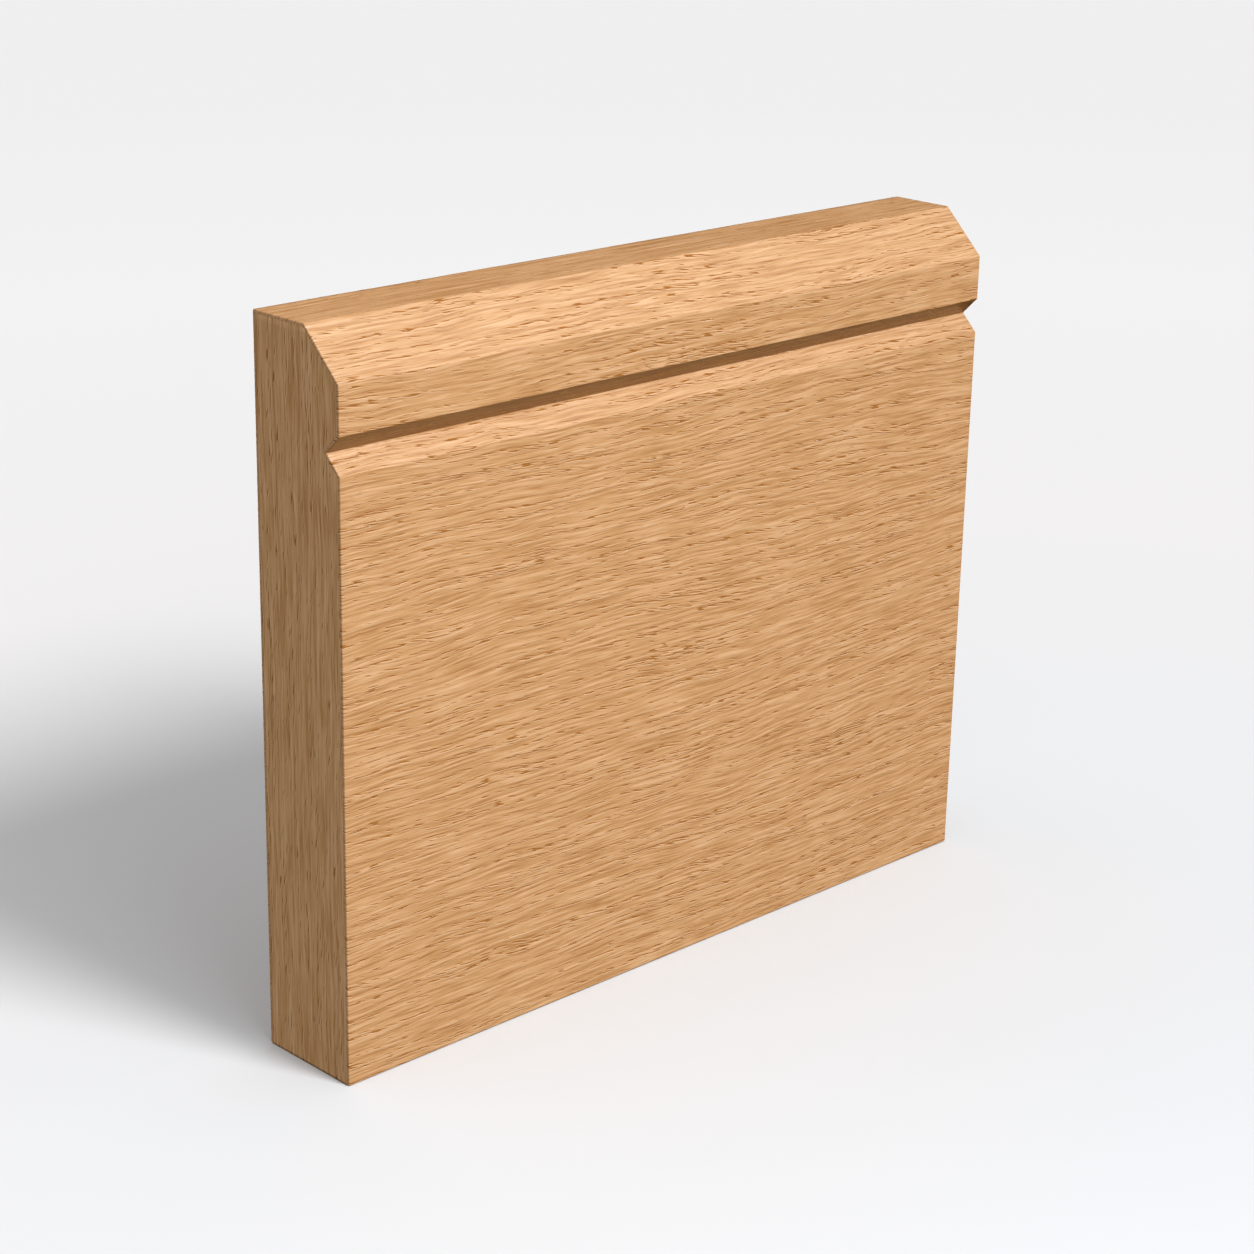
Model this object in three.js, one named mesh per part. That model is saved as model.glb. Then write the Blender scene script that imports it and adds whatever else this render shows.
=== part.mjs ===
// Oak-veneered skirting board, a short length with both ends dressed.
//
// A moulded MDF core carries oak veneer on every side but its underside, which stands on the
// floor and stays bare. The show side has a 45 degree chamfer at the top, a plain band below
// it and a 90 degree V-groove, and the face veneer is wrapped over all three.
//
// Frame, in millimetres: X runs along the board, -Y is the show side, +Y the wall side and +Z
// up. The origin is the middle of the underside.

import * as THREE from 'three';

// ---- Driving dimensions ----------------------------------------------------------------

const LENGTH = 144; // over the end veneers
const HEIGHT = 120; // underside to top edge
const THICKNESS = 20; // show side to wall side, over the veneers
const VENEER = 0.5; // every oak sheet

const CHAMFER = 7.7; // set-back of the 45 degree chamfer on each of its two faces
const BAND = 7.7; // plain band between the chamfer and the groove
const GROOVE_DEPTH = 3; // a 90 degree groove is twice as wide as it is deep

// ---- Section -----------------------------------------------------------------------------
// The section lies in the YZ plane. Its corners are named in order, from the foot of the show
// side up over the mouldings and down the wall side.

const FRONT = -THICKNESS / 2;
const BACK = THICKNESS / 2;
const BAND_TOP = HEIGHT - CHAMFER;
const GROOVE_TOP = BAND_TOP - BAND;
const GROOVE_FOOT = GROOVE_TOP - 2 * GROOVE_DEPTH;

const BOARD_SECTION = {
  showFoot: [FRONT, 0],
  grooveFoot: [FRONT, GROOVE_FOOT],
  grooveRoot: [FRONT + GROOVE_DEPTH, GROOVE_FOOT + GROOVE_DEPTH],
  grooveTop: [FRONT, GROOVE_TOP],
  bandTop: [FRONT, BAND_TOP],
  chamferTop: [FRONT + CHAMFER, HEIGHT],
  wallTop: [BACK, HEIGHT],
  wallFoot: [BACK, 0],
};

// The corners that the face veneer is wrapped over.
const SHOW_CORNERS = ['showFoot', 'grooveFoot', 'grooveRoot', 'grooveTop', 'bandTop', 'chamferTop'];

// The line from one corner to the next, moved sideways into the board by a distance.
function insetLine(from, to, distance) {
  const along = new THREE.Vector2(to[0] - from[0], to[1] - from[1]).normalize();
  const start = new THREE.Vector2(from[0] + along.y * distance, from[1] - along.x * distance);
  return { start, along };
}

// Where two lines cross.
function crossing(first, second) {
  const between = second.start.clone().sub(first.start);
  const travel = between.cross(second.along) / first.along.cross(second.along);
  const point = first.along.clone().multiplyScalar(travel).add(first.start);
  return [point.x, point.y];
}

// The same section less its veneer: every side moves in by a sheet, except the bare underside.
function lessVeneer(section) {
  const names = Object.keys(section);
  const sides = names.map((name, i) => {
    const next = names[(i + 1) % names.length];
    const isUnderside = name === 'wallFoot';
    return insetLine(section[name], section[next], isUnderside ? 0 : VENEER);
  });
  const corners = names.map((name, i) => {
    const sideBefore = sides[(i + names.length - 1) % names.length];
    return [name, crossing(sideBefore, sides[i])];
  });
  return Object.fromEntries(corners);
}

const CORE_SECTION = lessVeneer(BOARD_SECTION);

// ---- Materials ---------------------------------------------------------------------------

const faceOak = new THREE.MeshStandardMaterial({ color: 0xc99a66, roughness: 0.55, metalness: 0 });
const edgeOak = new THREE.MeshStandardMaterial({ color: 0xbd8f5c, roughness: 0.58, metalness: 0 });
const endOak = new THREE.MeshStandardMaterial({ color: 0xb98d60, roughness: 0.62, metalness: 0 });
const backOak = new THREE.MeshStandardMaterial({ color: 0xc3966a, roughness: 0.65, metalness: 0 });
const mdf = new THREE.MeshStandardMaterial({ color: 0x8f8060, roughness: 0.9, metalness: 0 });

// ---- Pieces ------------------------------------------------------------------------------

// A straight piece with one section: the outline's points are (y, z), run along X.
function extrusion(name, outline, fromX, toX, material) {
  const shape = new THREE.Shape(outline.map(([y, z]) => new THREE.Vector2(y, z)));
  const geometry = new THREE.ExtrudeGeometry(shape, {
    depth: toX - fromX,
    steps: 1,
    bevelEnabled: false,
  });
  const alongY = new THREE.Vector3(0, 1, 0);
  const alongZ = new THREE.Vector3(0, 0, 1);
  const alongX = new THREE.Vector3(1, 0, 0);
  geometry.applyMatrix4(new THREE.Matrix4().makeBasis(alongY, alongZ, alongX));
  const mesh = new THREE.Mesh(geometry, material);
  mesh.name = name;
  mesh.position.x = fromX;
  return mesh;
}

// The moulded board itself, with the chamfer and the groove cut in it.
function coreBoard() {
  const half = LENGTH / 2 - VENEER;
  return extrusion('core_board', Object.values(CORE_SECTION), -half, half, mdf);
}

// One sheet over the face, the groove, the band and the chamfer. Its top edge is mitred.
function faceVeneer() {
  const outside = SHOW_CORNERS.map((name) => BOARD_SECTION[name]);
  const inside = SHOW_CORNERS.map((name) => CORE_SECTION[name]);
  const outline = [...outside, ...inside.reverse()];
  return extrusion('face_veneer', outline, -LENGTH / 2, LENGTH / 2, faceOak);
}

// The strip along the top edge, mitred to the face veneer and lapped by the back veneer.
function topEdgeVeneer() {
  const outline = [
    BOARD_SECTION.chamferTop,
    [CORE_SECTION.wallTop[0], HEIGHT],
    CORE_SECTION.wallTop,
    CORE_SECTION.chamferTop,
  ];
  return extrusion('top_edge_veneer', outline, -LENGTH / 2, LENGTH / 2, edgeOak);
}

// The balancing sheet on the wall side, over the full height.
function backVeneer() {
  const inner = BACK - VENEER;
  const outline = [
    [inner, 0],
    [inner, HEIGHT],
    [BACK, HEIGHT],
    [BACK, 0],
  ];
  return extrusion('back_veneer', outline, -LENGTH / 2, LENGTH / 2, backOak);
}

// A cap on one end of the core, inside the sheets that run the board's full length.
function endVeneer(name, fromX) {
  return extrusion(name, Object.values(CORE_SECTION), fromX, fromX + VENEER, endOak);
}

// ---- Assembly ----------------------------------------------------------------------------

const skirtingBoard = new THREE.Group();
skirtingBoard.add(
  coreBoard(),
  faceVeneer(),
  topEdgeVeneer(),
  backVeneer(),
  endVeneer('left_end_veneer', -LENGTH / 2),
  endVeneer('right_end_veneer', LENGTH / 2 - VENEER),
);

export default skirtingBoard;
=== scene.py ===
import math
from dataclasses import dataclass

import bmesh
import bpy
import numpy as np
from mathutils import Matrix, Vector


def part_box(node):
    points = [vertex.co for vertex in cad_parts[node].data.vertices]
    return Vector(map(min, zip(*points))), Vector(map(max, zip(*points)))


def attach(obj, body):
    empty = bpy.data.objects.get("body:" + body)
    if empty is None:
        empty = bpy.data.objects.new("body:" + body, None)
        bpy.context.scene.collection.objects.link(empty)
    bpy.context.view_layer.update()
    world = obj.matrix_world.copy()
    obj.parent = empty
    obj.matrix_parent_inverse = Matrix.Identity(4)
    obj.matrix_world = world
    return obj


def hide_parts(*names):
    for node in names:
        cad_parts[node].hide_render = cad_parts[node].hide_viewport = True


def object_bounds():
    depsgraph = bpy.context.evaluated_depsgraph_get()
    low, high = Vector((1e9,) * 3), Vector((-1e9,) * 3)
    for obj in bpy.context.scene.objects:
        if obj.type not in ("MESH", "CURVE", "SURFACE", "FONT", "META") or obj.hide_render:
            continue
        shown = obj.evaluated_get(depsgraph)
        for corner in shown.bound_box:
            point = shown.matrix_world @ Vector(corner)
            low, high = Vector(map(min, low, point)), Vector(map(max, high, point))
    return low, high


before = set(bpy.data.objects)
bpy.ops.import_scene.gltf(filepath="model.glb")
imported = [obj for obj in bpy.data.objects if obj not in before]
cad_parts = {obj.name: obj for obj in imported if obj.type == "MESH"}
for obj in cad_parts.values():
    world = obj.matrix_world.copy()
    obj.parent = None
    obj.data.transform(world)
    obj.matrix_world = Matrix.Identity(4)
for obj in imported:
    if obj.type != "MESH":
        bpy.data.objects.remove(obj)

# A short length of oak-veneered skirting board on a pale studio floor.
#
# Everything is in metres, in the CAD model's frame: X along the board, -Y the show side, +Z up.
# Each oak sheet is rebuilt here as a fine closed mesh with eased arrises and brushed grain. The
# grain is written once, as nodes, and used twice: in geometry nodes, where it sinks the soft
# wood below the surface, and in the materials, where it gives the colour and the pores.

CAD_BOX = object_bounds()
MM = 0.001

# ---- The board, read from the CAD model ------------------------------------------------------

LOW, HIGH = CAD_BOX
CHAMFER_TOP_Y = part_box("face_veneer")[1].y
BACK_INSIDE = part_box("back_veneer")[0].y
VENEER = HIGH.y - BACK_INSIDE
FRONT_INSIDE = LOW.y + VENEER
ON_A_PLANE = 0.01 * MM  # how near a plane a CAD corner counts as on it


def heights_on_the_front(node):
    """The heights of a CAD node's corners on the board's front plane, to a micrometre, rising."""
    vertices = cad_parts[node].data.vertices
    on_front = [v.co.z for v in vertices if abs(v.co.y - LOW.y) < ON_A_PLANE]
    return sorted({round(z, 6) for z in on_front})


FOOT, GROOVE_FOOT, GROOVE_TOP, BAND_TOP = heights_on_the_front("face_veneer")
GROOVE_DEPTH = (GROOVE_TOP - GROOVE_FOOT) / 2
GROOVE_ROOT = (GROOVE_TOP + GROOVE_FOOT) / 2

# ---- Mesh sizes ------------------------------------------------------------------------------

ARRIS = 0.25 * MM  # radius of the eased arrises along the board
FOOT_ARRIS = 0.3 * MM  # radius at the foot, which is nearly sharp
ROOT_FILLET = 0.15 * MM  # radius in the root of the groove
END_ARRIS = 0.2 * MM  # radius at the two sawn ends
CUT_EDGE = 0.1 * MM  # what is left flat of a sheet's cut edge, inside its arris
ARC_STEP = math.radians(15)  # rough turn between two samples of an arc
END_ARRIS_STEPS = 5  # faces round the arris of a sawn end
ACROSS_GRAIN = 0.26 * MM  # rough width of a face, across the grain
ALONG_GRAIN = 1.0 * MM  # and along it

# ---- The section's outline -------------------------------------------------------------------
# From the foot of the show side, over the mouldings and the top edge, and down the wall side.
# Each row is (y, z, radius). The underside is left open: each sheet closes its own cut edge.

SECTION = [
    (FRONT_INSIDE - CUT_EDGE, FOOT, 0),
    (LOW.y, FOOT, FOOT_ARRIS),
    (LOW.y, GROOVE_FOOT, ARRIS),
    (LOW.y + GROOVE_DEPTH, GROOVE_ROOT, ROOT_FILLET),
    (LOW.y, GROOVE_TOP, ARRIS),
    (LOW.y, BAND_TOP, ARRIS),
    (CHAMFER_TOP_Y, HIGH.z, ARRIS),
    (BACK_INSIDE, HIGH.z, 0),
    (BACK_INSIDE + CUT_EDGE, HIGH.z, 0),
    (HIGH.y, HIGH.z, ARRIS),
    (HIGH.y, FOOT, FOOT_ARRIS),
    (BACK_INSIDE + CUT_EDGE, FOOT, 0),
]
FACE_STARTS, CHAMFER_TOP, TOP_ENDS, BACK_STARTS, BACK_ENDS = 0, 6, 7, 8, 11  # rows of SECTION

CORNERS = np.array([row[:2] for row in SECTION])
RADII = [row[2] for row in SECTION]
STRAIGHTS = np.diff(CORNERS, axis=0)
LENGTHS = np.linalg.norm(STRAIGHTS, axis=1)
HEADINGS = STRAIGHTS / LENGTHS[:, None]


def outward(heading):
    """The outward normal beside a heading, both as (y, z)."""
    return np.array([-heading[1], heading[0]])


def turned(vector, angle):
    c, s = math.cos(angle), math.sin(angle)
    return np.array([c * vector[0] - s * vector[1], s * vector[0] + c * vector[1]])


def turn_at(i):
    """How far the outline turns at a corner, positive to the left."""
    if not 0 < i < len(HEADINGS):
        return 0.0
    before, after = HEADINGS[i - 1], HEADINGS[i]
    return math.atan2(before[0] * after[1] - before[1] * after[0], float(before @ after))


def trim(i):
    """What a corner's arc takes off each of the two straights that meet there."""
    return RADII[i] * math.tan(abs(turn_at(i)) / 2)


def outline(first, last, step):
    """Samples of the section between two of its corners, each rounded to its radius.

    A sample is (point, normal, place), and its place is the number of the corner before it plus
    the share of the way to the next one. Where the stretch ends at a rounded corner, it ends in
    the middle of that corner's arc, which is the mitre."""
    samples = []
    for i in range(first, last + 1):
        samples += arc(i)
        if i < last:
            trims = trim(i), trim(i + 1)
            count = max(1, round((LENGTHS[i] - sum(trims)) / step))
            for along in np.linspace(trims[0], LENGTHS[i] - trims[1], count + 1):
                point = CORNERS[i] + HEADINGS[i] * along
                samples.append((point, outward(HEADINGS[i]), i + along / LENGTHS[i]))
    return [s for s in samples if first <= s[2] <= last]


def arc(i):
    """The samples strictly inside a corner's arc, in an even number of steps."""
    turn, cut = turn_at(i), trim(i)
    if cut == 0:
        return []
    before = HEADINGS[i - 1]
    to_centre = math.copysign(RADII[i], turn)
    centre = CORNERS[i] - before * cut + outward(before) * to_centre
    count = 2 * max(1, round(abs(turn) / ARC_STEP / 2))
    samples = []
    for k in range(1, count):
        normal = outward(turned(before, turn * k / count))
        from_corner = 2 * k / count - 1
        length = LENGTHS[i - 1] if from_corner < 0 else LENGTHS[i]
        samples.append((centre - normal * to_centre, normal, i + from_corner * cut / length))
    return samples


def inside_corners():
    """The section's corners moved in by the veneer, mitred, and square at the sheets' cut edges."""
    inside = CORNERS.copy()
    for i in range(1, len(CORNERS) - 1):
        n, m = outward(HEADINGS[i - 1]), outward(HEADINGS[i])
        inside[i] = CORNERS[i] - VENEER * (n + m) / (1 + n @ m)
    inside[FACE_STARTS] = FRONT_INSIDE, FOOT
    inside[BACK_STARTS] = BACK_INSIDE, HIGH.z
    inside[BACK_ENDS] = BACK_INSIDE, FOOT
    return inside


# ---- Sheets ----------------------------------------------------------------------------------


def eased_places(low, high, step, radius):
    """Places from low to high, and how far the surface drops at each to ease the two ends."""
    count = round((high - low - 2 * radius) / step)
    middle = np.linspace(low + radius, high - radius, count + 1)
    angles = np.arange(1, END_ARRIS_STEPS + 1) * (math.pi / 2 / END_ARRIS_STEPS)
    reach, drop = radius * np.sin(angles), radius * (1 - np.cos(angles))
    places = np.concatenate([middle[0] - reach[::-1], middle, middle[-1] + reach])
    return places, np.concatenate([drop[::-1], np.zeros(len(middle)), drop])


def sheet_faces(rows, count):
    """The faces of a closed sheet: first the grid that shows, then its edges and its inside.

    The outer points are numbered row by row, and after them each row's two inner points."""
    ids = np.arange(rows * count).reshape(rows, count)
    left, right = (np.arange(rows) * 2 + rows * count + side for side in (0, 1))
    shown = []
    for r in range(rows - 1):
        for c in range(count - 1):
            shown.append((ids[r, c], ids[r, c + 1], ids[r + 1, c + 1], ids[r + 1, c]))
    hidden = []
    for r in range(rows - 1):
        hidden.append((ids[r, 0], ids[r + 1, 0], left[r + 1], left[r]))
        hidden.append((ids[r, -1], right[r], right[r + 1], ids[r + 1, -1]))
        hidden.append((left[r], left[r + 1], right[r + 1], right[r]))
    hidden.append((*ids[0][::-1], left[0], right[0]))
    hidden.append((*ids[-1], right[-1], left[-1]))
    return shown, hidden


def sheet(name, outer, inner, out, grain, keep):
    """A closed sheet from a grid of outer points, rows by columns, and two inner points a row.

    out is the way out of the board at each outer point, grain its place on the veneer in mm,
    along and across the grain, and keep the share of the brushed relief that it takes."""
    rows, count = outer.shape[:2]
    shown, hidden = sheet_faces(rows, count)
    mesh = bpy.data.meshes.new(name)
    points = np.concatenate([outer.reshape(-1, 3), inner.reshape(-1, 3)])
    mesh.from_pydata(points.tolist(), [], [[int(i) for i in face] for face in shown + hidden])
    smooth = [True] * len(shown) + [False] * len(hidden)
    mesh.polygons.foreach_set("use_smooth", smooth)

    at_vertex = np.concatenate([grain.reshape(-1, 2), grain[:, [0, -1]].reshape(-1, 2)])
    corners = np.zeros(len(mesh.loops), np.int32)
    mesh.loops.foreach_get("vertex_index", corners)
    mesh.uv_layers.new(name="Grain").data.foreach_set("uv", at_vertex[corners].ravel())

    ways_out = np.zeros((len(points), 3))
    ways_out[: rows * count] = out.reshape(-1, 3) * keep.reshape(-1, 1)
    attribute = mesh.attributes.new("out", "FLOAT_VECTOR", "POINT")
    attribute.data.foreach_set("vector", ways_out.ravel())

    bm = bmesh.new()
    bm.from_mesh(mesh)
    bmesh.ops.recalc_face_normals(bm, faces=bm.faces)
    bm.to_mesh(mesh)
    bm.free()
    piece = bpy.data.objects.new(name, mesh)
    bpy.context.scene.collection.objects.link(piece)
    return piece


def long_sheet(name, first, last, step, column_step):
    """A sheet over part of the section, along the whole board, with its grain along X."""
    samples = outline(first, last, step)
    points, normals, places = (np.array(part) for part in zip(*samples))
    gone = np.linalg.norm(np.diff(points, axis=0), axis=1)
    across = np.concatenate([[0], np.cumsum(gone)])
    xs, drops = eased_places(LOW.x, HIGH.x, column_step, END_ARRIS)
    rows, count = len(points), len(xs)

    outer = np.zeros((rows, count, 3))
    outer[..., 0] = xs
    outer[..., 1:] = points[:, None] - normals[:, None] * drops[None, :, None]
    out = np.zeros((rows, count, 3))
    out[..., 1:] = normals[:, None]
    grain = np.zeros((rows, count, 2))
    grain[..., 0] = xs / MM
    grain[..., 1] = across[:, None] / MM
    above_foot = points[:, 1] > FOOT + FOOT_ARRIS
    keep = np.repeat(above_foot[:, None], count, axis=1)

    inside = inside_corners()
    inner = np.zeros((rows, 2, 3))
    inner[:, :, 0] = LOW.x, HIGH.x
    for axis in (0, 1):
        inner[:, :, axis + 1] = np.interp(places, np.arange(len(inside)), inside[:, axis])[:, None]
    return sheet(name, outer, inner, out, grain, keep)


def end_sheet(name, x, step, column_step):
    """The sheet over one sawn end, inside the sheets that run the board's length, grain upright."""
    inward = -math.copysign(1, x)
    front = inside_corners()[FACE_STARTS : CHAMFER_TOP + 1]
    heights = []
    for low, high in zip(front[:, 1], front[1:, 1]):
        heights.append(np.linspace(low, high, max(1, round((high - low) / step)) + 1))
    zs = np.unique(np.concatenate(heights))
    shares = np.linspace(0, 1, round((BACK_INSIDE - FRONT_INSIDE) / column_step) + 1)
    front_y = np.interp(zs, front[:, 1], front[:, 0])
    ys = front_y[:, None] * (1 - shares) + BACK_INSIDE * shares

    outer = np.zeros((*ys.shape, 3))
    outer[..., 0] = x
    outer[..., 1] = ys
    outer[..., 2] = zs[:, None]
    out = np.zeros_like(outer)
    out[..., 0] = -inward
    grain = np.stack([outer[..., 2] / MM, outer[..., 1] / MM], axis=-1)
    inner = outer[:, [0, -1]].copy()
    inner[..., 0] = x + inward * VENEER
    return sheet(name, outer, inner, out, grain, np.ones(ys.shape))


# ---- Grain -----------------------------------------------------------------------------------

SEED_STEP = (7.3, 3.1)  # how far a seed moves a noise along and across, in features
FINE_ROUGHNESS = 0.62  # how strong the finer layers of the streaks and the fibres are


class Nodes:
    """Writes sums as nodes. A shader's tree and a geometry tree both have all of these."""

    def __init__(self, tree):
        self.tree = tree

    def add(self, kind, inputs=None, **settings):
        node = self.tree.nodes.new(kind)
        for key, value in settings.items():
            setattr(node, key, value)
        for key, value in (inputs or {}).items():
            self.feed(node.inputs[key], value)
        return node

    def feed(self, socket, value):
        if isinstance(value, bpy.types.NodeSocket):
            self.tree.links.new(value, socket)
        else:
            socket.default_value = value

    def math(self, operation, *values):
        sockets = dict(enumerate(values))
        return self.add("ShaderNodeMath", sockets, operation=operation).outputs[0]

    def smooth(self, value, zero_at, one_at):
        """0 at and beyond one value, 1 at and beyond another, and smooth between them."""
        inputs = {"Value": value, "From Min": zero_at, "From Max": one_at}
        return self.add("ShaderNodeMapRange", inputs, interpolation_type="SMOOTHSTEP").outputs[0]

    def at(self, along, across, size, seed):
        """Grain coordinates in units of a feature's length and width in mm, moved by a seed."""
        x = self.math("MULTIPLY_ADD", along, 1 / size[0], seed * SEED_STEP[0])
        y = self.math("MULTIPLY_ADD", across, 1 / size[1], seed * SEED_STEP[1])
        return self.add("ShaderNodeCombineXYZ", {0: x, 1: y}).outputs[0]

    def noise(self, along, across, size, seed, detail=0.0, roughness=0.5):
        vector = self.at(along, across, size, seed)
        inputs = {"Vector": vector, "Scale": 1.0, "Detail": detail, "Roughness": roughness}
        return self.add("ShaderNodeTexNoise", inputs, noise_dimensions="2D").outputs[0]


@dataclass
class Oak:
    """How one sheet of oak is figured and finished. Sizes are a feature's length and width in mm."""

    seed: int
    wander: tuple  # sideways drift of the grain in mm, broad and local
    streak: tuple  # size of the dark streaks
    pore: tuple  # size of the open pores
    pore_share: float  # how readily pores open in their rows, 0 to 1
    relief: float  # depth in mm that brushing leaves
    colour: tuple  # its middle colour, as linear RGB
    contrast: float  # strength of its streaks and pores
    roughness: float


FACE_OAK = Oak(
    seed=1, wander=(3.0, 0.9), streak=(15, 0.5), pore=(2.8, 0.19), pore_share=0.9, relief=0.03,
    colour=(0.482, 0.247, 0.089), contrast=1.0, roughness=0.52,
)
TOP_OAK = Oak(
    seed=5, wander=(1.5, 0.4), streak=(26, 0.6), pore=(3.0, 0.22), pore_share=0.3, relief=0.015,
    colour=(0.55, 0.283, 0.108), contrast=1.0, roughness=0.45,
)
END_OAK = Oak(
    seed=9, wander=(2.0, 0.6), streak=(18, 0.55), pore=(3.0, 0.24), pore_share=0.6, relief=0.02,
    colour=(0.56, 0.30, 0.112), contrast=0.85, roughness=0.45,
)
BACK_OAK = Oak(
    seed=13, wander=(4.0, 1.0), streak=(16, 0.7), pore=(3.0, 0.26), pore_share=0.8, relief=0.03,
    colour=(0.48, 0.25, 0.095), contrast=0.8, roughness=0.45,
)

# Lengths and widths in mm of what every sheet has.
BROAD_DRIFT = (70, 30)
LOCAL_DRIFT = (13, 5)
BAND = (60, 6)
FIBRE = (6, 0.24)
PORE_ROW = (40, 0.75)

# A noise runs from 0 to 1 around 0.5. These are the values that shape one.
SOFT_WOOD = (0.65, 0.35)  # streak noise where brushing cuts nothing, and where it cuts fully
ROW_EDGE = (0.48, 0.34)  # row noise just outside a row of pores, and in its middle
PORE_OUTSIDE = 0.12  # dash noise below which a pore is open outside the rows
PORE_IN_ROW = 0.29  # how much higher that is in a row's middle
PORE_EDGE = 0.08  # width of a pore's soft edge, in dash noise

PORE_LEAN = 0.09  # slope of a pore against its row
PORE_LIP = 0.22  # mm across the grain from a pore to its raised edge, which is painted paler as a highlight


def flowing(n, along, across, oak):
    """The place across the grain, bent as the fibres drift from side to side."""
    broad = n.noise(along, across, BROAD_DRIFT, oak.seed)
    local = n.noise(along, across, LOCAL_DRIFT, oak.seed + 1)
    bent = n.math("MULTIPLY_ADD", broad, oak.wander[0], across)
    return n.math("MULTIPLY_ADD", local, oak.wander[1], bent)


def streaks(n, along, bent, oak, detail):
    return n.noise(along, bent, oak.streak, oak.seed + 2, detail, FINE_ROUGHNESS)


def pores(n, along, bent, oak):
    """Open pores, as tapered dashes along the grain that gather in rows: 1 in a pore."""
    leaning = n.math("MULTIPLY_ADD", along, PORE_LEAN, bent)
    dashes = n.noise(along, leaning, oak.pore, oak.seed + 3)
    rows = n.smooth(n.noise(along, bent, PORE_ROW, oak.seed + 4, detail=1.0), *ROW_EDGE)
    level = n.math("MULTIPLY_ADD", rows, PORE_IN_ROW * oak.pore_share, PORE_OUTSIDE)
    return n.math("SUBTRACT", 1.0, n.smooth(dashes, level, n.math("ADD", level, PORE_EDGE)))


def brushed(piece, oak):
    """Sinks the soft wood of a sheet below its surface, by geometry nodes."""
    tree = bpy.data.node_groups.new(piece.name + "_relief", "GeometryNodeTree")
    tree.interface.new_socket("Geometry", in_out="INPUT", socket_type="NodeSocketGeometry")
    tree.interface.new_socket("Geometry", in_out="OUTPUT", socket_type="NodeSocketGeometry")
    n = Nodes(tree)
    grain, out = (
        n.add("GeometryNodeInputNamedAttribute", {"Name": name}, data_type="FLOAT_VECTOR").outputs[0]
        for name in ("Grain", "out")
    )
    along, across, _ = n.add("ShaderNodeSeparateXYZ", {0: grain}).outputs
    bent = flowing(n, along, across, oak)
    sunk = n.smooth(streaks(n, along, bent, oak, detail=0.0), *SOFT_WOOD)
    depth = n.math("MULTIPLY", sunk, -oak.relief * MM)
    offset = n.add("ShaderNodeVectorMath", {0: out, "Scale": depth}, operation="SCALE").outputs[0]
    start = n.add("NodeGroupInput").outputs[0]
    moved = n.add("GeometryNodeSetPosition", {"Geometry": start, "Offset": offset}).outputs[0]
    n.add("NodeGroupOutput", {0: moved})
    piece.modifiers.new("Brushed relief", "NODES").node_group = tree


# ---- Materials -------------------------------------------------------------------------------

FIBRE_TONE, BAND_TONE = 0.7, 0.05  # shares of the fibres and bands in the tone, beside the streaks
DARK_TONE, MIDDLE_TONE, PALE_TONE = 0.2, 0.5, 0.8  # tones of the darkest, middle and palest oak
DARKEST, PALEST, LIP_PAINTED_HIGHLIGHT = -0.28, 0.22, 0.3  # how those differ in red from the middle colour; the lip's paler colour is a painted highlight
DEEPENING = (1, 1.65, 3.2)  # powers of such a change in red, green and blue
# share of the lip's painted highlight laid over the oak's colour
LIP_HIGHLIGHT_COVER = 0.6
PORE_COLOUR = (0.28, 0.1, 0.012)
PORE_COVER = 0.9
PORE_GLOSS = -0.32  # what a pore full of finish adds to the roughness
PAINTED_SHADE_BELOW = (0.53, 0.4, 0.03)  # painted shade: what is left of the colour on surfaces that face down
FACING_DOWN = (-0.2, -0.6)  # a normal's Z, from where that painted shade starts to where it is full
FIBRE_HEIGHT, STREAK_HEIGHT, LIP_HEIGHT = 0.4, 1.2, 0.3  # shares of OAK_BUMP
OAK_BUMP = 0.065 * MM
FINISH_IOR = 1.6
FINISH_SPECULAR = 1.0

MDF_FIBRES_PER_METRE = 900.0
MDF_SPECKS_PER_METRE = 2200.0
MDF_COLOURS = [(0.25, (0.16, 0.13, 0.07)), (0.5, (0.29, 0.23, 0.13)), (0.75, (0.42, 0.35, 0.21))]
MDF_SPECK = (0.07, 0.05, 0.03)
MDF_SPECK_EDGE = (0.64, 0.7)
MDF_SPECK_COVER = 0.7
MDF_ROUGHNESS, MDF_ROUGHER_FIBRES = 0.8, 0.15
MDF_BUMP = 0.08 * MM


def new_material(name):
    """A material with an empty tree: its name, its node writer and its surface shader."""
    material = bpy.data.materials.new(name)
    material.use_nodes = True
    material.node_tree.nodes.clear()
    n = Nodes(material.node_tree)
    shader = n.add("ShaderNodeBsdfPrincipled")
    n.add("ShaderNodeOutputMaterial", {"Surface": shader.outputs[0]})
    return material, n, shader


def ramp(n, value, stops):
    """A colour for each value, through stops of (value, linear colour)."""
    node = n.add("ShaderNodeValToRGB", {0: value})
    elements = node.color_ramp.elements
    while len(elements) < len(stops):
        elements.new(0.5)
    for element, (position, colour) in zip(elements, stops):
        element.position = position
        element.color = (*colour, 1)
    return node.outputs[0]


def blend(n, share, first, colour, kind="MIX"):
    """A colour socket with a share of a constant linear colour laid over it."""
    node = n.add("ShaderNodeMix", data_type="RGBA", blend_type=kind)
    n.feed(node.inputs[0], share)
    n.feed(node.inputs[6], first)
    n.feed(node.inputs[7], (*colour, 1))
    return node.outputs[2]


def add_share(n, noise, share, tone):
    """A tone with a share of a noise added, where the noise's middle adds nothing."""
    return n.math("MULTIPLY_ADD", n.math("SUBTRACT", noise, 0.5), share, tone)


def shade(oak, change):
    """An oak's middle colour made darker or lighter. Darker oak is also more saturated."""
    return [c * (1 + change) ** power for c, power in zip(oak.colour, DEEPENING)]


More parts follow.
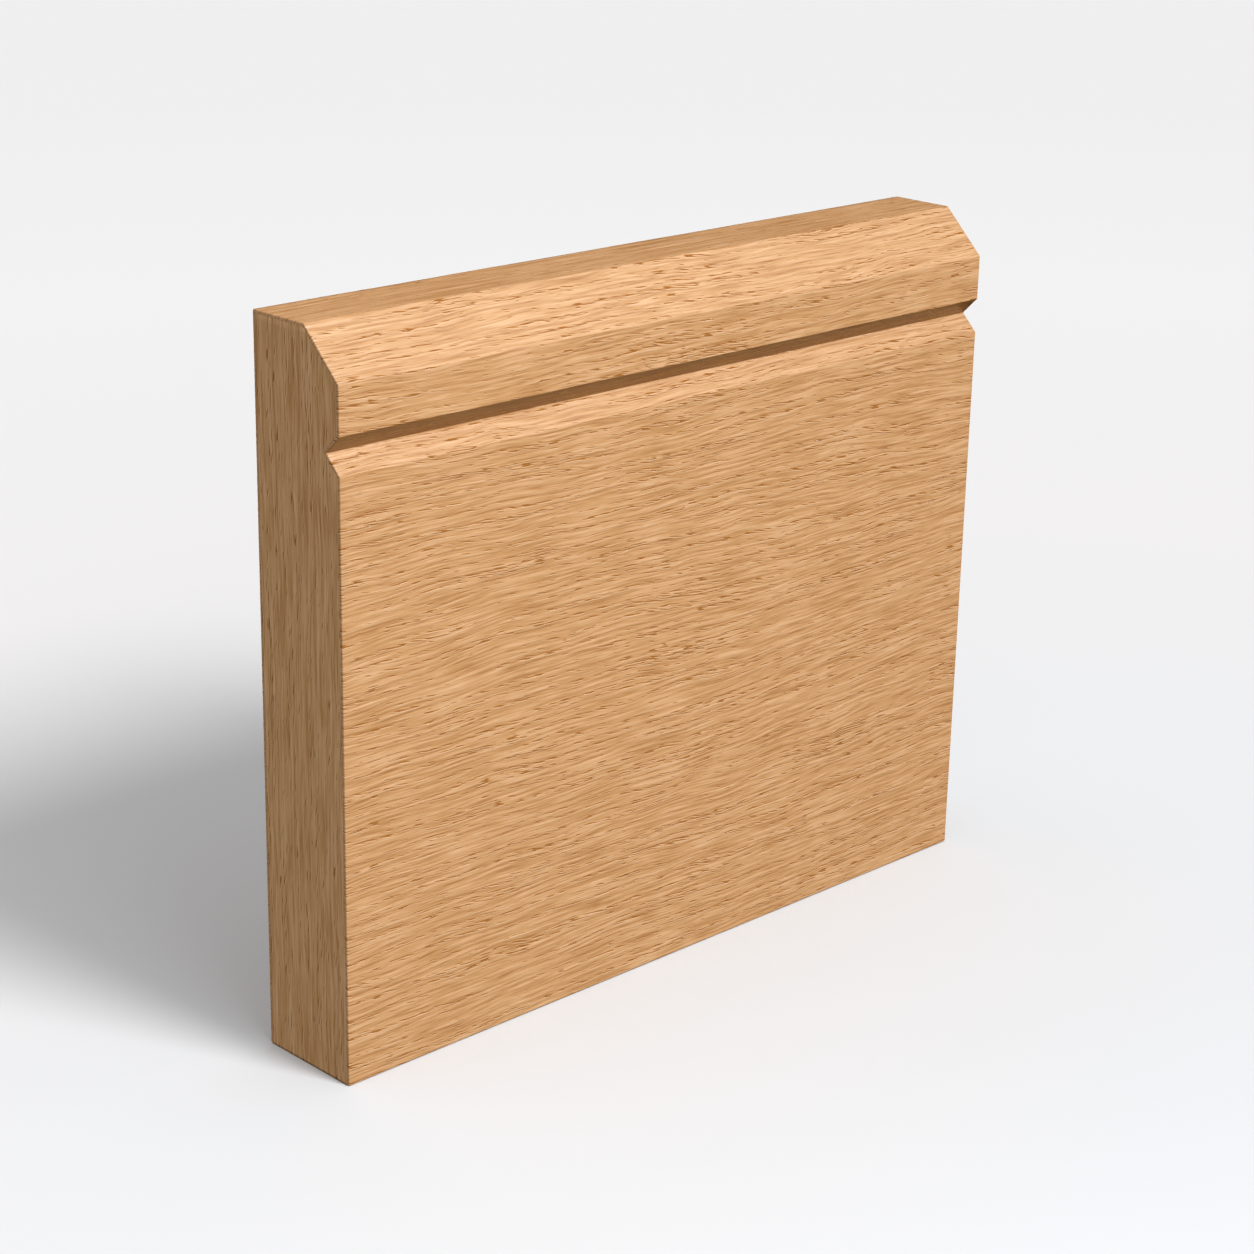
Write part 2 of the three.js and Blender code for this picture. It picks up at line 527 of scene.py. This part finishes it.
def oak_material(name, oak):
    """Oak with its figure in the Grain map."""
    material, n, shader = new_material(name)
    grain = n.add("ShaderNodeUVMap", uv_map="Grain").outputs[0]
    along, across, _ = n.add("ShaderNodeSeparateXYZ", {0: grain}).outputs
    bent = flowing(n, along, across, oak)
    soft = streaks(n, along, bent, oak, detail=2.0)
    holes = pores(n, along, bent, oak)
    lips = pores(n, along, n.math("ADD", bent, PORE_LIP), oak)
    fibres = n.noise(along, bent, FIBRE, oak.seed + 5, 2.0, FINE_ROUGHNESS)
    bands = n.noise(along, across, BAND, oak.seed + 6, detail=2.0)

    stops = [
        (DARK_TONE, shade(oak, DARKEST * oak.contrast)),
        (MIDDLE_TONE, oak.colour),
        (PALE_TONE, shade(oak, PALEST * oak.contrast)),
    ]
    tone = add_share(n, fibres, FIBRE_TONE, add_share(n, bands, BAND_TONE, soft))
    base = ramp(n, tone, stops)
    # The raised lip beside each pore is a real bump and is also painted paler: a painted highlight.
    lip_highlight_cover = n.math("MULTIPLY", lips, LIP_HIGHLIGHT_COVER * oak.contrast)
    base = blend(n, lip_highlight_cover, base, shade(oak, LIP_PAINTED_HIGHLIGHT))
    pore_cover = n.math("MULTIPLY", holes, PORE_COVER * oak.contrast)
    base = blend(n, pore_cover, base, PORE_COLOUR)
    normal = n.add("ShaderNodeNewGeometry").outputs["Normal"]
    upward = n.add("ShaderNodeSeparateXYZ", {0: normal}).outputs["Z"]
    # Painted shade: surfaces that face down, such as the groove's upper flank and the foot's arris,
    # are darkened.
    base = blend(n, n.smooth(upward, *FACING_DOWN), base, PAINTED_SHADE_BELOW, "MULTIPLY")
    n.feed(shader.inputs["Base Color"], base)

    roughness = n.math("MULTIPLY_ADD", holes, PORE_GLOSS, oak.roughness)
    n.feed(shader.inputs["Roughness"], roughness)
    height = n.math("MULTIPLY_ADD", fibres, FIBRE_HEIGHT, n.math("MULTIPLY", soft, STREAK_HEIGHT))
    height = n.math("MULTIPLY_ADD", lips, LIP_HEIGHT, height)
    bump = n.add("ShaderNodeBump", {"Height": height, "Strength": 1.0, "Distance": OAK_BUMP})
    n.feed(shader.inputs["Normal"], bump.outputs[0])
    shader.inputs["IOR"].default_value = FINISH_IOR
    shader.inputs["Specular IOR Level"].default_value = FINISH_SPECULAR
    return material


def mdf_material():
    """Bare moisture-resistant MDF: pale green-brown, with pressed fibres and dark specks."""
    material, n, shader = new_material("mdf")
    position = n.add("ShaderNodeTexCoord").outputs["Object"]
    inputs = {"Vector": position, "Scale": MDF_FIBRES_PER_METRE, "Detail": 4.0, "Roughness": 0.7}
    fibre = n.add("ShaderNodeTexNoise", inputs).outputs[0]
    inputs = {"Vector": position, "Scale": MDF_SPECKS_PER_METRE, "Detail": 1.0}
    specks = n.smooth(n.add("ShaderNodeTexNoise", inputs).outputs[0], *MDF_SPECK_EDGE)
    speck_cover = n.math("MULTIPLY", specks, MDF_SPECK_COVER)
    base = blend(n, speck_cover, ramp(n, fibre, MDF_COLOURS), MDF_SPECK)
    n.feed(shader.inputs["Base Color"], base)
    roughness = n.math("MULTIPLY_ADD", fibre, MDF_ROUGHER_FIBRES, MDF_ROUGHNESS)
    n.feed(shader.inputs["Roughness"], roughness)
    bump = n.add("ShaderNodeBump", {"Height": fibre, "Distance": MDF_BUMP})
    n.feed(shader.inputs["Normal"], bump.outputs[0])
    return material


# ---- The board -------------------------------------------------------------------------------


def dress(piece, node, oak, material):
    """Brushes a sheet, gives it its material and lets it stand for its CAD node."""
    brushed(piece, oak)
    piece.data.materials.append(material)
    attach(piece, "root")
    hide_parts(node)


def build_board():
    face = long_sheet("face_sheet", FACE_STARTS, CHAMFER_TOP, ACROSS_GRAIN, ALONG_GRAIN)
    dress(face, "face_veneer", FACE_OAK, oak_material("oak_face", FACE_OAK))
    top = long_sheet("top_edge_sheet", CHAMFER_TOP, TOP_ENDS, ACROSS_GRAIN, ALONG_GRAIN)
    dress(top, "top_edge_veneer", TOP_OAK, oak_material("oak_top_edge", TOP_OAK))
    back = long_sheet("back_sheet", BACK_STARTS, BACK_ENDS, 2 * ACROSS_GRAIN, 2 * ALONG_GRAIN)
    dress(back, "back_veneer", BACK_OAK, oak_material("oak_back", BACK_OAK))
    end_material = oak_material("oak_end", END_OAK)
    for side, x in (("left", LOW.x), ("right", HIGH.x)):
        end = end_sheet(f"{side}_end_sheet", x, ALONG_GRAIN, ACROSS_GRAIN)
        dress(end, f"{side}_end_veneer", END_OAK, end_material)

    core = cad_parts["core_board"]
    core.data.materials.clear()
    core.data.materials.append(mdf_material())


# ---- The studio ------------------------------------------------------------------------------

CAMERA_TARGET = Vector((-13.44, -10.0, 62.47)) * MM
CAMERA_DISTANCE = 457.14 * MM
CAMERA_AZIMUTH = math.radians(-44.395)
CAMERA_ELEVATION = math.radians(19.152)
CAMERA_ROLL = math.radians(1.12)
CAMERA_LENS = 80.91  # mm, on the default 36 mm sensor
CAMERA_CLIP = 10 * MM

FACE_MIDDLE = Vector((0, LOW.y, (LOW.z + HIGH.z) / 2))  # what the lights aim at

KEY_AZIMUTH = math.radians(13.5)
KEY_ELEVATION = math.radians(40)
KEY_DISTANCE = 1.0  # any distance does, because a sun's light doesn't fall off
KEY_STRENGTH = 3.15
KEY_SPREAD = math.radians(20)
FILL_AZIMUTH = math.radians(-20)
FILL_ELEVATION = math.radians(35)
FILL_DISTANCE = 0.3
FILL_DIAMETER = 0.21
FILL_POWER = 0.271
SKY_ABOVE = 0.68
SKY_BELOW = 0.48
HORIZON = (0.45, 0.55)  # where the sky below ends and the one above starts, from 0 down to 1 up

FLOOR_HALF = 6.0
POOL_CENTRE = Vector((20, -90, 0)) * MM
FLOOR_PAINTED_SHADE = [  # painted shade, darker and cooler near the board: tones by distance in metres from the middle of the fill's pool of light
    (0.0, (0.582, 0.60, 0.624)),
    (0.12, (0.612, 0.622, 0.638)),
    (0.3, (0.66, 0.65, 0.652)),
    (0.6, (0.675, 0.67, 0.672)),
    (1.0, (0.655, 0.652, 0.655)),
]


def direction(azimuth, elevation):
    """The unit vector from the board towards an azimuth, 0 being straight out in front."""
    flat = math.cos(elevation)
    return Vector((math.sin(azimuth) * flat, -math.cos(azimuth) * flat, math.sin(elevation)))


def add_camera():
    data = bpy.data.cameras.new("camera")
    data.lens = CAMERA_LENS
    data.clip_start = CAMERA_CLIP
    camera = bpy.data.objects.new("camera", data)
    bpy.context.scene.collection.objects.link(camera)
    back = direction(CAMERA_AZIMUTH, CAMERA_ELEVATION)
    level = Vector((math.cos(CAMERA_AZIMUTH), math.sin(CAMERA_AZIMUTH), 0))
    right = Matrix.Rotation(CAMERA_ROLL, 3, back) @ level
    up = back.cross(right)
    camera.matrix_world = Matrix((right, up, back)).transposed().to_4x4()
    camera.location = CAMERA_TARGET + back * CAMERA_DISTANCE
    bpy.context.scene.camera = camera


def add_light(name, kind, power, azimuth, elevation, distance):
    """A light that aims at the middle of the board's face."""
    data = bpy.data.lights.new(name, kind)
    data.energy = power
    light = bpy.data.objects.new(name, data)
    towards = direction(azimuth, elevation)
    light.rotation_mode = "QUATERNION"
    light.rotation_quaternion = towards.to_track_quat("Z", "Y")
    light.location = FACE_MIDDLE + towards * distance
    bpy.context.scene.collection.objects.link(light)
    return light


def add_lights():
    """A soft key from the front right and a near soft fill from the front left."""
    key = add_light("key", "SUN", KEY_STRENGTH, KEY_AZIMUTH, KEY_ELEVATION, KEY_DISTANCE)
    key.data.angle = KEY_SPREAD
    fill = add_light("fill", "AREA", FILL_POWER, FILL_AZIMUTH, FILL_ELEVATION, FILL_DISTANCE)
    fill.data.shape = "DISK"
    fill.data.size = FILL_DIAMETER
    fill.visible_camera = False
    fill.visible_glossy = False


def add_sky():
    """A pale sky that is dimmer below the horizon, and that gloss doesn't mirror."""
    world = bpy.data.worlds.new("sky")
    world.use_nodes = True
    n = Nodes(world.node_tree)
    facing = n.add("ShaderNodeTexCoord").outputs["Generated"]
    upward = n.add("ShaderNodeSeparateXYZ", {0: facing}).outputs["Z"]
    stops = [(HORIZON[0], [SKY_BELOW] * 3), (HORIZON[1], [SKY_ABOVE] * 3)]
    colour = ramp(n, n.math("MULTIPLY_ADD", upward, 0.5, 0.5), stops)
    n.feed(world.node_tree.nodes["Background"].inputs["Color"], colour)
    bpy.context.scene.world = world
    world.cycles_visibility.glossy = False  # Cycles needs the scene to have its world by now


def paper_material():
    """Matt paper with painted shade: darker and cooler near the board, to even out the pool of light
    that the near fill makes and the board's warm bounce, and a little darker far off.
    """
    material, n, shader = new_material("floor_paper")
    position = n.add("ShaderNodeTexCoord").outputs["Object"]
    inputs = {0: position, 1: POOL_CENTRE}
    reach = n.add("ShaderNodeVectorMath", inputs, operation="DISTANCE").outputs["Value"]
    # The tone by distance from the pool is painted shade.
    n.feed(shader.inputs["Base Color"], ramp(n, reach, FLOOR_PAINTED_SHADE))
    shader.inputs["Roughness"].default_value = 1.0
    shader.inputs["Specular IOR Level"].default_value = 0.0
    return material


def add_floor():
    mesh = bpy.data.meshes.new("floor")
    ends = (-FLOOR_HALF, FLOOR_HALF)
    mesh.from_pydata([(x, y, 0) for y in ends for x in ends], [], [(0, 1, 3, 2)])
    mesh.materials.append(paper_material())
    floor = bpy.data.objects.new("floor", mesh)
    bpy.context.scene.collection.objects.link(floor)
    floor.visible_diffuse = False  # the sky below lights the board evenly in its place
    floor.visible_glossy = False


add_camera()
build_board()
add_floor()
add_lights()
add_sky()
bpy.context.scene.view_settings.view_transform = "Standard"
